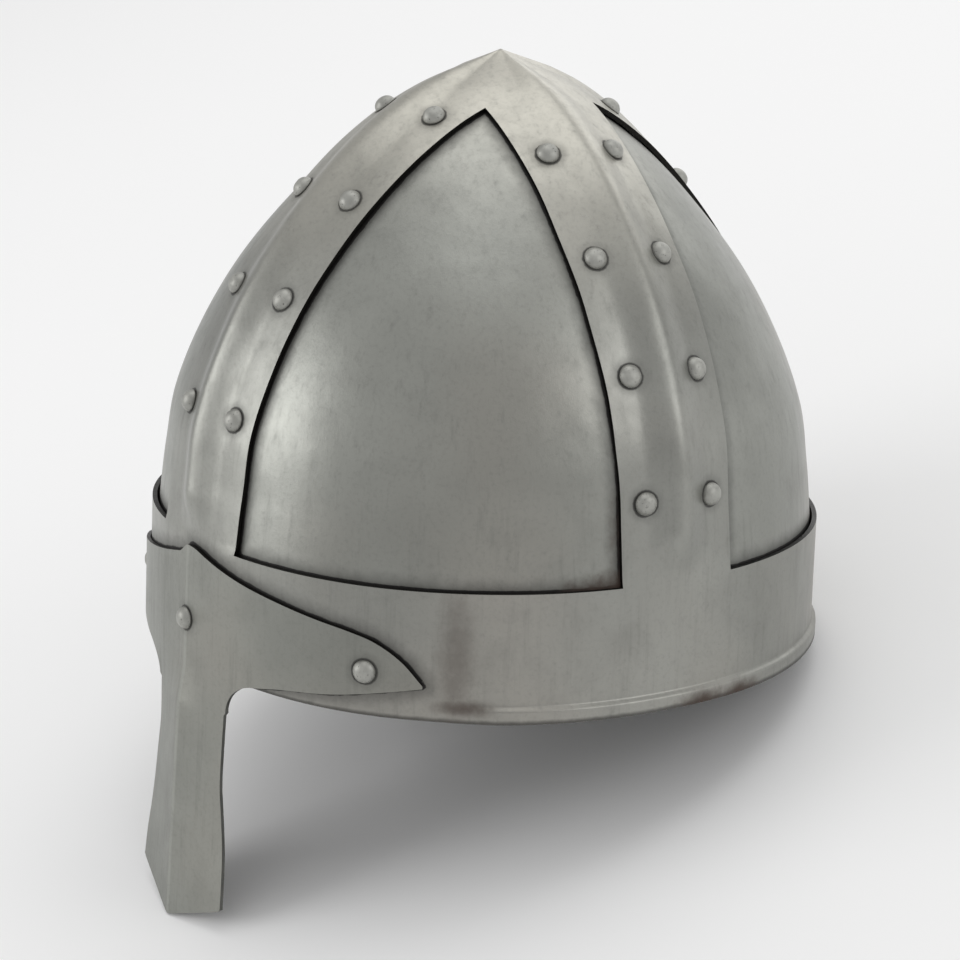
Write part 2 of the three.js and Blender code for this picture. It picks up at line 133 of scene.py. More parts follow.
# Radius of the dome, as a share of the band's, at shares of its height
DomeRow = namedtuple("DomeRow", "height radius")
DOME = [
    DomeRow(0, 1),
    DomeRow(0.12, 0.981),
    DomeRow(0.25, 0.958),
    DomeRow(0.4, 0.886),
    DomeRow(0.55, 0.775),
    DomeRow(0.7, 0.616),
    DomeRow(0.82, 0.452),
    DomeRow(0.92, 0.254),
    DomeRow(1, 0),
]

# How much of a plate's bulge there is at shares of its window's height
BulgeRow = namedtuple("BulgeRow", "height bulge")
BULGE = [BulgeRow(0, 0.35), BulgeRow(0.12, 0.9), BulgeRow(0.3, 1), BulgeRow(0.7, 0.8), BulgeRow(1, 0)]

# Rivet heights on the ribs, as shares of the dome's height
RivetRow = namedtuple("RivetRow", "long cross")
RIVETS = [RivetRow(0.271, 0.167), RivetRow(0.514, 0.414), RivetRow(0.709, 0.63), RivetRow(0.875, 0.818)]

# Outline of a rivet's head, as shares of its radius and height
HeadRow = namedtuple("HeadRow", "radius height")
HEAD = [HeadRow(0, 1), HeadRow(0.3, 0.97), HeadRow(0.58, 0.85), HeadRow(0.8, 0.62), HeadRow(0.94, 0.34),
        HeadRow(1, 0.1)]

# Radius of a shank and of a tail's end, as shares of the tail's radius
SHANK_SHARE = 0.55
TAIL_END = 0.8

# Scale and depth of the dents in a head
DentSize = namedtuple("DentSize", "scale height")
HEAD_DENTS = DentSize(330, 0.00022)

# How far apart two heads lie in their noise, and how much further each is turned about its own axis
HEAD_STEP = (1.7, 2.3)
HEAD_TURN = 1.9

# Nasal blade: shares of its drop, its half width and, for crest and edge, its forward lean
BladeRow = namedtuple("BladeRow", "drop width crest edge")
BLADE = [
    BladeRow(0.16, 0.81, 0.57, 0),
    BladeRow(0.34, 0.79, 0.67, 0.06),
    BladeRow(0.47, 0.81, 0.74, 0.14),
    BladeRow(0.61, 0.87, 0.81, 0.17),
    BladeRow(0.74, 0.93, 0.88, 0.22),
    BladeRow(0.88, 0.98, 0.95, 0.33),
    BladeRow(1, 1, 1, 0.42),
]

# Edges of the nasal's wings: heights, as shares of the band's, at shares of the wing's reach
EdgeRow = namedtuple("EdgeRow", "reach height")
WING_TOP = [
    EdgeRow(0, 0.95),
    EdgeRow(0.05, 0.945),
    EdgeRow(0.12, 0.909),
    EdgeRow(0.205, 0.865),
    EdgeRow(0.313, 0.817),
    EdgeRow(0.48, 0.754),
    EdgeRow(0.62, 0.698),
    EdgeRow(0.757, 0.642),
    EdgeRow(0.844, 0.581),
    EdgeRow(0.93, 0.457),
    EdgeRow(1, 0.285),
]
WING_FOOT = [
    EdgeRow(0.3, 0),
    EdgeRow(0.375, 0.022),
    EdgeRow(0.497, 0.076),
    EdgeRow(0.693, 0.132),
    EdgeRow(0.907, 0.223),
    EdgeRow(1, 0.264),
]

# Lamps of the studio: place and size in metres, power in watts
Lamp = namedtuple("Lamp", "name place width height power")
LAMPS = [
    Lamp("top", (-0.15, 0.85, 2.1), 1.8, 1.8, 10.5),
    Lamp("left", (-0.9, -1.5, 1.1), 1.2, 1.2, 9.5),
    Lamp("back", (-0.9, 2.1, 0.75), 2.2, 1.1, 7.5),
    Lamp("right", (1.5, 1.0, 0.8), 1.1, 1.1, 5),
]
LAMP_AIM = (0, 0, 0.1)


def length(name, description, default):
    """A size in metres that can be set in the sidebar."""
    return FloatProperty(name=name, description=description, default=default, min=0, unit="LENGTH",
                         precision=5)


def turn(name, description, degrees):
    """An angle that can be set in the sidebar."""
    return FloatProperty(name=name, description=description, default=math.radians(degrees), subtype="ANGLE")


def colour(name, description, default):
    """A colour that can be set in the sidebar."""
    return FloatVectorProperty(name=name, description=description, default=default, min=0, max=1, size=4,
                               subtype="COLOR")


class SkullSizes(bpy.types.PropertyGroup):
    """Sizes of the cage and of the plates behind its windows."""
    band_width: length("Band width", "Outside width of the brow band", 0.21)
    band_length: length("Band length", "Outside length of the brow band from brow to nape", 0.2154)
    band_height: length("Band height", "Height of the brow band", 0.0394)
    dome_height: length("Dome height", "Height of the point over the band", 0.1458)
    sheet: length("Sheet", "Thickness of the cage's sheet", 0.0015)
    flare: length("Flare", "How much the band widens towards the rim", 0.0006)
    lip_height: length("Lip height", "Height of the turned-out foot of the band", 0.0048)
    lip_reach: length("Lip reach", "How far the foot of the band stands out", 0.0015)
    lip_run_out: turn("Lip run-out", "Turn over which the lip fades before the nasal", 14)
    long_rib: length("Long rib", "Width of the ribs over brow and nape", 0.045)
    cross_rib: length("Cross rib", "Width of the ribs over the ears", 0.0404)
    ridge_width: length("Ridge width", "Width of the fold along each rib", 0.024)
    ridge_height: length("Ridge height", "How far the fold stands out", 0.0039)
    ridge_crest: length("Ridge crest", "Radius of the fold's soft crest", 0.0036)
    ridge_run_out: length("Ridge run-out", "Height over which the fold rises from the band", 0.015)
    ridge_run_in: length("Ridge run-in", "Height over which the fold sinks into the point", 0.0073)
    wander: length("Edge wander", "How far the hand-cut window edges stray", 0.00035)
    plate_sheet: length("Plate sheet", "Thickness of the infill plates", 0.0015)
    plate_gap: length("Plate gap", "Air between cage and plates", 0.0005)
    plate_bulge: length("Plate bulge", "How far a plate stands out in the middle of its window", 0.0016)
    plate_tuck: length("Plate tuck", "How far a plate reaches down behind the band", 0.014)
    plate_spacing: length("Plate spacing", "Gap between two plates behind a rib", 0.013)


class NasalSizes(bpy.types.PropertyGroup):
    """Sizes of the nasal guard."""
    sheet: length("Sheet", "Thickness of the nasal", 0.0012)
    seam: length("Seam", "Air between nasal and band", 0.0003)
    drop: length("Drop", "How far the nasal reaches below the rim", 0.0838)
    point: length("Point", "How much further the middle of its tip reaches up", 0.0095)
    width: length("Width", "Width at the foot of the blade", 0.0514)
    lean: length("Lean", "How far the blade's foot stands forward", 0.0086)
    neck: length("Neck", "Width where the blade meets the wings", 0.0416)
    fillet: length("Fillet", "Radius between blade and wing", 0.012)
    clearance: length("Clearance", "How far the curved sheet runs past the rim", 0.001)
    wing_reach: turn("Wing reach", "Turn from the brow to a wing's tip", 47.3)
    wing_sink: length("Wing sink", "How much lower the right wing sits", 0.003)
    sink_run_in: turn("Sink run-in", "Turn over which the right wing sinks", 3)
    crest: length("Crest", "How far the soft crest stands out over the band", 0.0007)
    crest_width: length("Crest width", "Width of that crest", 0.016)


class RivetSizes(bpy.types.PropertyGroup):
    """Sizes and places of the rivets."""
    head: length("Head", "Radius of a head", 0.0036)
    height: length("Height", "Height of a head", 0.0025)
    lift: length("Lift", "Height of the head's seat over the sheet", 0.0003)
    tail: length("Tail", "Radius of the flattened end inside", 0.0031)
    tail_height: length("Tail height", "Height of the flattened end inside", 0.0009)
    long_offset: length("Long offset", "Distance from the middle of a long rib", 0.0141)
    cross_offset: length("Cross offset", "Distance from the middle of a cross rib", 0.0121)
    nasal_height: length("Nasal height", "Height of the rivets through the nasal", 0.014)
    nasal_reach: turn("Nasal reach", "Turn from the brow to a rivet in a wing", 38.2)
    seed: IntProperty(name="Seed", description="Start of the heads' small differences", default=11)


class SteelColours(bpy.types.PropertyGroup):
    """Colours of the metal."""
    cage: colour("Cage", "Cage's steel", (0.33, 0.332, 0.308, 1))
    plate: colour("Plate", "Plates' steel", (0.33, 0.335, 0.31, 1))
    nasal: colour("Nasal", "Nasal's steel", (0.285, 0.29, 0.266, 1))
    rivet: colour("Rivet", "Rivet heads' steel", (0.43, 0.43, 0.4, 1))
    inside: colour("Inside", "Unpolished steel inside", (0.2, 0.198, 0.185, 1))
    # One dark for blackening and painted shade: in seams and gaps, round rivets, on cut edges, and in the
    # heads' pits
    grime_and_shade: colour("Darkening", "Blackening in the seams", (0.008, 0.007, 0.006, 1))
    rust: colour("Rust", "Brown of the old stains", (0.06, 0.04, 0.03, 1))
    # Painted warm highlight over the upper dome, where light from above falls
    warm: colour("Warm", "Warm bloom of the polished crown", (0.52, 0.5, 0.44, 1))


class StageSettings(bpy.types.PropertyGroup):
    """Floor, light and the photograph's view."""
    floor: colour("Floor", "Floor's colour", (0.95, 0.95, 0.95, 1))
    floor_size: length("Floor size", "Side of the floor", 30)
    sky: FloatProperty(name="Sky", description="Strength of the even light from all round", default=0.62)
    azimuth: turn("Azimuth", "Camera's turn from the brow towards the left ear", 55.939)
    elevation: turn("Elevation", "Camera's height over the rim's plane", 15.325)
    roll: turn("Roll", "Camera's turn about its own line of sight", 1.968)
    distance: length("Distance", "Camera's distance", 0.8443)
    side: FloatProperty(name="Side", description="Target's place to the right", default=-0.0018,
                        unit="LENGTH")
    target: length("Target", "Target's height over the rim", 0.04432)
    focal: FloatProperty(name="Focal length", description="In image pixels", default=2569.155)
    image: IntProperty(name="Image", description="Image's side in pixels", default=960)


def skull():
    return bpy.context.scene.helmet_skull


def nasal():
    return bpy.context.scene.helmet_nasal


def rivets():
    return bpy.context.scene.helmet_rivets


def clamp(value, low=0.0, high=1.0):
    return max(low, min(high, value))


def mix(a, b, share):
    return a + (b - a) * share


def tinted(colour_value, *shares):
    """A colour with its channels multiplied, by one share or by three."""
    shares = shares * 3 if len(shares) == 1 else shares
    return [value * share for value, share in zip(colour_value, shares)] + [1]


def smooth(value, low, high):
    t = clamp((value - low) / (high - low))
    return t * t * (3 - 2 * t)


def read_table(rows, column, value):
    """The smooth curve through a table's rows that the solids follow, read at a value of its first column."""
    at = clamp(value, rows[0][0], rows[-1][0])
    low = 0
    while low < len(rows) - 2 and rows[low + 1][0] <= at:
        low += 1
    a, b = rows[low], rows[low + 1]
    y0, y1 = getattr(a, column), getattr(b, column)

    def slope(k):
        before, after = rows[max(k - 1, 0)], rows[min(k + 1, len(rows) - 1)]
        return (getattr(after, column) - getattr(before, column)) / (after[0] - before[0])

    run = b[0] - a[0]
    s = (at - a[0]) / run
    rise = (y1 - y0) * s * s * (3 - 2 * s)
    return y0 + rise + run * s * (1 - s) * ((1 - s) * slope(low) - s * slope(low + 1))


class Skin:
    """The outer skin of cage or plates: superellipse sections that turn from oval to diamond upwards."""
    BAND, SHOULDER, CROWN = 2.12, 2.06, 1.6

    def __init__(self, foot):
        size = skull()
        self.foot = foot
        self.half = (size.band_width / 2, size.band_length / 2)
        self.base, self.rise = size.band_height, size.dome_height
        self.apex = size.band_height + size.dome_height
        self.rib_half = (size.cross_rib / 2, size.long_rib / 2)
        self.known = {}

    def section(self, z):
        key = round(z, 7)
        if key not in self.known:
            share = clamp((z - self.base) / self.rise)
            radius = max(read_table(DOME, "radius", share), SMALLEST)
            power = mix(self.SHOULDER, self.CROWN, share) if share > 0 else self.foot
            self.known[key] = (self.half[0] * radius, self.half[1] * radius, power)
        return self.known[key]

    def point(self, angle, z):
        x, y, power = self.section(z)
        c, s = math.cos(angle), math.sin(angle)
        reach = 2 / power
        return Vector((math.copysign(x * abs(c) ** reach, c), math.copysign(y * abs(s) ** reach, s), z))

    def normal(self, angle, z):
        step, rise = 0.002, 5e-5
        if z > self.apex - rise:
            return Vector((0, 0, 1))
        high = max(z, rise)
        across = self.point(angle + step, z) - self.point(angle - step, z)
        up = self.point(angle, high) - self.point(angle, high - rise)
        return across.cross(up).normalized()

    def rib_width(self, rib):
        return self.rib_half[rib % 2]

    def rib_share(self, z):
        """How much of its width a rib keeps where the ribs run into each other."""
        x, y, power = self.section(z)
        total = (self.rib_half[1] / x) ** power + (self.rib_half[0] / y) ** power
        return min(1.0, total ** (-1 / power))

    def rib_angle(self, rib, offset, z):
        x, y, power = self.section(z)
        share = clamp(abs(offset) / (x if rib % 2 else y))
        return rib * QUARTER + math.copysign(math.asin(share ** (power / 2)), offset)

    def window_top(self):
        low, high = self.base, self.apex
        while high - low > SMALLEST:
            middle = (low + high) / 2
            if self.rib_share(middle) >= 1:
                low = middle
            else:
                high = middle
        return low

    def window_angles(self, rib, z):
        """Angles of the window's two edges after a rib."""
        share = self.rib_share(z)
        after = (rib + 1) % 4
        start = self.rib_angle(rib, self.rib_width(rib) * share, z)
        end = self.rib_angle(after, -self.rib_width(after) * share, z)
        return start, end + (4 * QUARTER if after == 0 else 0)


def ridge_lift(offset, z):
    """How far the fold stands out, with a soft crest in place of a knife edge."""
    size = skull()
    apex = size.band_height + size.dome_height
    half = size.ridge_width / 2
    soft = size.ridge_crest * (1 + smooth(z, apex - SOFT_START, apex - SOFT_END))
    reach = math.hypot(half, soft) - soft
    across = clamp(1 - (math.hypot(offset, soft) - soft) / reach)
    foot = smooth(z, size.band_height, size.band_height + size.ridge_run_out)
    head = clamp((apex - z) / size.ridge_run_in)
    return size.ridge_height * across ** FOLD_POWER * foot * head


def flare_reach(z):
    size = skull()
    return size.flare * clamp(1 - z / size.band_height)


def band_reach(point):
    """How far the band's foot stands out: a rolled lip that starts behind the nasal's wings."""
    size = skull()
    reach = nasal().wing_reach
    share = smooth(math.atan2(abs(point.x), -point.y), reach, reach + size.lip_run_out)
    rolled = smooth(size.lip_height * LIP_TOP - point.z, 0, size.lip_height * LIP_ROLL)
    return flare_reach(point.z) + size.lip_reach * share * rolled


def waver(point, scale, amount, seed=0.0):
    """A small smooth unevenness of hand-worked sheet, different for each seed."""
    return amount * noise.noise(point * scale + Vector((seed, 3.7 * seed, -seed)))


def band_plan(angle):
    """Point and outward normal of the band's outline at an angle from the brow."""
    half, front = skull().band_width / 2, skull().band_length / 2
    power = Skin.BAND
    total = abs(math.sin(angle) / half) ** power + abs(math.cos(angle) / front) ** power
    reach = total ** (-1 / power)
    point = Vector((reach * math.sin(angle), -reach * math.cos(angle), 0))
    pairs = ((point.x, half), (point.y, front))
    slopes = [math.copysign(abs(value / side) ** (power - 1) / side, value) for value, side in pairs]
    return point, Vector((*slopes, 0)).normalized()


def wing_sink(angle):
    return nasal().wing_sink * smooth(-angle, 0, nasal().sink_run_in)


def wing_edge(rows, angle):
    share = read_table(rows, "height", abs(angle) / nasal().wing_reach)
    return skull().band_height * share - wing_sink(angle)


def guard_cover(point):
    """Distance sign of a point on the band: -1 under the nasal's wings, 1 beside them."""
    angle = math.atan2(point.x, -point.y)
    under = wing_edge(WING_FOOT, angle) < point.z < wing_edge(WING_TOP, angle)
    return -1 if under and abs(angle) < nasal().wing_reach else 1


def wing_point(angle, z):
    """A point of the nasal's outer face over the band, with its soft crest."""
    size = nasal()
    point, normal = band_plan(angle)
    point.z = z
    across = clamp(1 - abs(point.x) / (size.crest_width / 2))
    crest = size.crest * smooth(across, 0, CREST_SPREAD) * smooth(-z, -skull().band_height, 0)
    return point + normal * (flare_reach(max(z, 0)) + size.seam + size.sheet + crest)


def blade_point(drop, across):
    """A point of the blade: across is -1 to 1 from edge to edge."""
    size = nasal()
    side = abs(across)
    half = size.width / 2 * read_table(BLADE, "width", drop)
    crest = size.lean * read_table(BLADE, "crest", drop)
    edge = size.lean * read_table(BLADE, "edge", drop)
    whole = math.hypot(1, BLADE_SOFTNESS) - BLADE_SOFTNESS
    soft = (math.hypot(side, BLADE_SOFTNESS) - BLADE_SOFTNESS) / whole
    fall = size.drop - size.point * soft
    return Vector((across * half, -skull().band_length / 2 - mix(crest, edge, soft), -drop * fall))


def tipping():
    """Turns an upright point to its place in the frame."""
    size, guard = skull(), nasal()
    forward = size.band_length / 2 + guard.lean
    behind = size.band_length / 2 + size.flare + size.lip_reach
    angle = math.atan2(guard.drop, forward - guard.sheet + behind)
    up = behind * math.sin(angle)
    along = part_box("nasal")[0].y + forward * math.cos(angle) + guard.drop * math.sin(angle)
    return Matrix.Translation((0, along, up)) @ Matrix.Rotation(-angle, 4, "X")


def seam_tree(points):
    """Looks up the nearest of many points along a seam."""
    tree = kdtree.KDTree(len(points))
    for i, point in enumerate(points):
        tree.insert(point, i)
    tree.balance()
    return tree


def window_outline(skin, rib, steps=700):
    """Points round a window: up both edges and along its foot."""
    top = skin.window_top()
    points = []
    for i in range(steps + 1):
        z = mix(skin.base, top, i / steps)
        points += [skin.point(angle, z) for angle in skin.window_angles(rib, z)]
    start, end = skin.window_angles(rib, skin.base)
    points += [skin.point(mix(start, end, i / steps), skin.base) for i in range(steps + 1)]
    return points


def guard_outline(steps=900, tip_steps=20):
    """Points round the nasal's wings, on the band."""
    reach = nasal().wing_reach
    points = []
    for i in range(steps + 1):
        angle = mix(-reach, reach, i / steps)
        point, _ = band_plan(angle)
        points += [point + Vector((0, 0, wing_edge(rows, angle))) for rows in (WING_TOP, WING_FOOT)]
    foot, top = wing_edge(WING_FOOT, reach), wing_edge(WING_TOP, reach)
    for side in (-1, 1):
        point, _ = band_plan(side * reach)
        points += [point + Vector((0, 0, mix(foot, top, i / tip_steps))) for i in range(tip_steps + 1)]
    return points


RivetSeat = namedtuple("RivetSeat", "node point normal stack")


def rivet_seats():
    """Where every rivet sits: its point on the outer sheet, the way it points and the sheets under it."""
    size, place, guard = skull(), rivets(), nasal()
    skin = Skin(Skin.BAND)
    seats = []
    for rib, name in enumerate(RIB_NAMES):
        for level, row in enumerate(RIVETS):
            z = size.band_height + size.dome_height * (row.long if rib % 2 else row.cross)
            offset = place.long_offset if rib % 2 else place.cross_offset
            for letter, side in (("a", -1), ("b", 1)):
                angle = skin.rib_angle(rib, side * offset, z)
                stack = size.sheet + size.plate_gap + size.plate_sheet
                node = f"rivet_{name}_{letter}{level + 1}"
                seats.append(RivetSeat(node, skin.point(angle, z), skin.normal(angle, z), stack))
    for name, angle in (("right", -place.nasal_reach), ("middle", 0.0), ("left", place.nasal_reach)):
        stack = guard.sheet + guard.seam + size.sheet
        seat = wing_point(angle, place.nasal_height - wing_sink(angle))
        seats.append(RivetSeat(f"rivet_nasal_{name}", seat, band_plan(angle)[1], stack))
    return seats


def add_sheet(bm, columns, rows, place):
    """A grid whose vertices go to place(share across, share up), which also gives their mask values."""
    layers = {name: bm.verts.layers.float.get(name) or bm.verts.layers.float.new(name) for name in MASKS}
    made = bmesh.ops.create_grid(bm, x_segments=columns, y_segments=rows, size=1)
    for vert in made["verts"]:
        point, masks = place((vert.co.x + 1) / 2, (vert.co.y + 1) / 2)
        vert.co = point
        for name, value in masks.items():
            vert[layers[name]] = value


def finish_piece(name, bm, materials, nodes, sheet=0.0, edge=0.0):
    """Makes the object: doubles merged, tipped into place, given thickness and soft edges, parented to the
    root body, and the solids it stands for hidden.
    """
    bmesh.ops.remove_doubles(bm, verts=bm.verts, dist=MERGE_DISTANCE)
    bm.transform(tipping())
    mesh = bpy.data.meshes.new(name)
    bm.to_mesh(mesh)
    bm.free()
    mesh.shade_smooth()
    piece = bpy.data.objects.new(name, mesh)
    bpy.context.scene.collection.objects.link(piece)
    for material in materials:
        mesh.materials.append(material)
    if sheet:
        thick = piece.modifiers.new("Sheet", "SOLIDIFY")
        thick.thickness = sheet
        thick.offset = -1
        thick.use_even_offset = True
        thick.material_offset = INSIDE_SLOT
        thick.material_offset_rim = EDGE_SLOT
    if edge:
        soft = piece.modifiers.new("Edge", "BEVEL")
        soft.width = edge
        soft.segments = 2
        soft.limit_method = "ANGLE"
        soft.angle_limit = math.radians(SHARP_DEGREES)
        soft.harden_normals = True
    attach(piece, "root")
    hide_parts(*nodes)
    return piece


class Value:
    """A shader socket, or a number, that Python's operators add Math nodes to."""

    def __init__(self, graph, socket):
        self.graph, self.socket = graph, socket

    def math(self, operation, *values):
        return self.graph.node("Math", {"operation": operation}, dict(enumerate(values)))

    def __add__(self, other):
        return self.math("ADD", self, other)

    def __sub__(self, other):
        return self.math("SUBTRACT", self, other)

    def __rsub__(self, other):
        return self.math("SUBTRACT", other, self)

    def __mul__(self, other):
        return self.math("MULTIPLY", self, other)

    __radd__ = __add__
    __rmul__ = __mul__

    def larger(self, other):
        return self.math("MAXIMUM", self, other)

    def step(self, low, high, start=0.0, end=1.0):
        """A smooth change from start to end while this goes from low to high."""
        sockets = {"Value": self, "From Min": low, "From Max": high, "To Min": start, "To Max": end}
        return self.graph.node("MapRange", {"interpolation_type": "SMOOTHSTEP"}, sockets, "Result")


class Graph:
    """The nodes of one material."""

    def __init__(self, name):
        self.material = bpy.data.materials.new(name)
        self.material.use_nodes = True
        self.tree = self.material.node_tree
        self.shader = self.tree.nodes["Principled BSDF"]

    def node(self, kind, settings=None, sockets=None, output=0):
        """Adds a node, sets its settings, then gives its sockets their values or links."""
        made = self.tree.nodes.new("ShaderNode" + kind)
        for name, value in (settings or {}).items():
            setattr(made, name, value)
        for name, value in (sockets or {}).items():
            self.feed(made.inputs[name], value)
        return Value(self, made.outputs[output])

    def feed(self, socket, value):
        if isinstance(value, Value):
            self.tree.links.new(value.socket, socket)
        else:
            socket.default_value = value

    def mask(self, name):
        """A value that the piece's vertices carry."""
        return self.node("Attribute", {"attribute_name": name}, output="Fac")

    def blend(self, share, first, second):
        return self.node("Mix", {"data_type": "RGBA"}, {0: share, 6: first, 7: second}, 2)

    def noise(self, place, grain):
        sockets = {"Vector": place, "Scale": grain.scale, "Detail": grain.detail, "Roughness": grain.rough,
                   "Distortion": grain.twist}
        return self.node("TexNoise", {"normalize": True}, sockets, "Fac")

    def bump(self, height, strength, distance):
        return self.node("Bump", sockets={"Strength": strength, "Distance": distance, "Height": height},
                         output="Normal")

    def finish(self, **inputs):
        for name, value in inputs.items():
            self.feed(self.shader.inputs[name.replace("_", " ")], value)
        return self.material


def colours():
    return bpy.context.scene.helmet_colours


def upright_place(graph):
    """Object coordinates turned back to the upright helmet."""
    back = tipping().inverted()
    objects = graph.node("TexCoord", output="Object")
    settings = {"vector_type": "POINT"}
    sockets = {"Vector": objects, "Location": back.to_translation(), "Rotation": back.to_euler()}
    return graph.node("Mapping", settings, sockets)


Stain = namedtuple("Stain", "centre radius ragged strength stretch")

# Stains at upright places: a streak down the band, a blotch at its foot and two scorches under the lip
CAGE_STAINS = [
    Stain((0.0865, -0.067, 0.02), 0.0085, 0.0025, 0.5, 4),
    Stain((0.0872, -0.0645, 0.0045), 0.013, 0.004, 0.8, 0.3),
    Stain((0.107, 0.01, 0.0008), 0.014, 0.005, 0.95, 0.3),
    Stain((0.1055, 0.026, 0.0008), 0.014, 0.005, 0.95, 0.3),
]

# Rust in the lower corner of a window, along its foot and up its side
PLATE_STAINS = [
    Stain((0.1012, -0.0205, 0.039), 0.013, 0.005, 1, 0.6),
    Stain((0.1007, -0.027, 0.0388), 0.011, 0.005, 1, 0.6),
    Stain((0.1002, -0.034, 0.0386), 0.008, 0.004, 0.9, 0.6),
    Stain((0.1013, -0.0205, 0.058), 0.005, 0.004, 0.5, 4),
]

# Noises of the sheets from broad to fine, then of the rivet heads and of the floor
Grain = namedtuple("Grain", "scale detail rough twist", defaults=(0.0,))
DRIFT = Grain(9, 2, 0.5)
CLOUD = Grain(16, 3, 0.5)
DENTS = Grain(38, 2, 0.5)
PATCH = Grain(55, 5, 0.6, 0.4)
INSIDE_PATCH = Grain(60, 5, 0.6)
EDGE_WANDER = Grain(260, 4, 0.6)
STAIN_EDGE = Grain(260, 4, 0.65)
STREAK = Grain(330, 4, 0.65)
SPECKS = Grain(700, 6, 0.7)
INSIDE_SPECKS = Grain(900, 4, 0.6)
PITS = Grain(2600, 3, 0.6)
HEAD_PATCH = Grain(300, 4, 0.6)
HEAD_PITS = Grain(1300, 3, 0.6)
FLOOR_CLOUD = Grain(1.2, 2, 0.55)

# How much a brush stroke is drawn out upwards, as a share of its pattern's scale
STROKE = (1, 1, 0.07)

# Shares of the tint: clouds between two greys, warmer drifts, freckles and the crest's painted highlight
CLOUD_SHADES = (0.88, 1.08)
DRIFT_SHADE = (1.02, 0.97, 0.95)
FRECKLE_SHADE = 0.55
CREST_HIGHLIGHT = 1.3

# Blackening and painted shade between two distances from a seam or from a rivet's middle, and how far its
# edge wanders
Darkening = namedtuple("Darkening", "mask near far strength wander")
GRIME_AND_SHADE = [
    Darkening("seam", 0.0004, 0.0012, 1, 0.0011),
    Darkening("seam", 0.0006, 0.006, 0.4, 0.0033),
    Darkening("rivet", 0.0039, 0.0046, 0.8, 0.00088),
    Darkening("rivet", 0.004, 0.007, 0.2, 0.0022),
]
# Darker over the lowest part of the band, towards the rim
FOOT_DARKENING = Darkening("height", 0.00034, 0.0017, 0.7, 0.00088)


def strongest(masks):
    """The largest of several masks at each place."""
    first, *others = masks
    for mask in others:
        first = first.larger(mask)
    return first


def darkening_mask(row, away, wander):
    """Darkening by the distance away: blackening and painted shade near seams and rivets, or darkening
    towards the foot.
    """
    return (away + wander * row.wander).step(row.near, row.far, row.strength, 0)


def stain_mask(graph, place, stain):
    """A soft spot round a point, with an edge broken up by noise, which can be stretched upwards."""
    scale = Vector((1, 1, 1 / stain.stretch))
    centre = [value * share for value, share in zip(stain.centre, scale)]
    flat = graph.node("VectorMath", {"operation": "MULTIPLY"}, {0: place, 1: scale})
    away = graph.node("VectorMath", {"operation": "DISTANCE"}, {0: flat, 1: centre}, "Value")
    edge = (graph.noise(place, STAIN_EDGE) - 0.5) * (2 * stain.ragged)
    return (away + edge).step(0, stain.radius, stain.strength, 0)


def steel(name, tint, roughness, warm_height=None, stains=(), worn_crest=0.0, dark_foot=False):
    """Satin hand-worked steel, blackened and darkened with painted shade along its seams and round its
    rivets, with a painted highlight over the crown or along a crest where asked.
    """
    graph = Graph(name)
    palette = colours()
    place = upright_place(graph)
    height = graph.node("SeparateXYZ", sockets={0: place}, output="Z")
    objects = graph.node("TexCoord", output="Object")
    cloud = graph.noise(objects, CLOUD)
    patch = graph.noise(objects, PATCH)
    specks = graph.noise(objects, SPECKS)
    drawn = graph.node("VectorMath", {"operation": "MULTIPLY"}, {0: place, 1: STROKE})
    streak = graph.noise(drawn, STREAK)

    base = graph.blend(cloud.step(0.3, 0.7), *[tinted(tint, share) for share in CLOUD_SHADES])
    drift = graph.noise(objects, DRIFT).step(0.42, 0.68, 0, 0.8)
    base = graph.blend(drift, base, tinted(tint, *DRIFT_SHADE))
    # A painted warm highlight over the upper dome, fading in between two heights
    if warm_height:
        base = graph.blend(height.step(*warm_height, 0, 0.75), base, palette.warm)
    # A painted highlight along the blade's crest, lighter than the tint
    if worn_crest:
        across = graph.node("SeparateXYZ", sockets={0: place}, output="X")
        crest = (across * across).step(0, worn_crest ** 2, 0.6, 0)
        base = graph.blend(crest, base, tinted(tint, CREST_HIGHLIGHT))
    freckles = patch.step(0.45, 0.75) * 0.2 + specks.step(0.45, 0.8) * 0.3 + streak.step(0.5, 0.8) * 0.3
    base = graph.blend(freckles, base, tinted(tint, FRECKLE_SHADE))

    # Painted shade and blackening along seams and round rivets, and darkening towards the foot
    wander = graph.noise(objects, EDGE_WANDER) - 0.5
    darkened = [darkening_mask(row, graph.mask(row.mask), wander) for row in GRIME_AND_SHADE]
    if dark_foot:
        darkened.append(darkening_mask(FOOT_DARKENING, height, wander))
    dull = strongest(darkened)
    base = graph.blend(dull, base, palette.grime_and_shade)
    if stains:
        rust = strongest([stain_mask(graph, place, stain) for stain in stains])
        base = graph.blend(rust, base, palette.rust)
        dull = dull.larger(rust)

    shine = roughness + (patch - 0.5) * 0.16 + (cloud - 0.5) * 0.14 + (streak - 0.5) * 0.2 + dull * 0.3
    relief = graph.noise(objects, DENTS) + specks * 0.07 + graph.noise(objects, PITS) * 0.03 + streak * 0.04
    return graph.finish(Base_Color=base, Metallic=1.0 - dull * 0.85, Roughness=shine,
                        Normal=graph.bump(relief, 0.55, 0.0011))


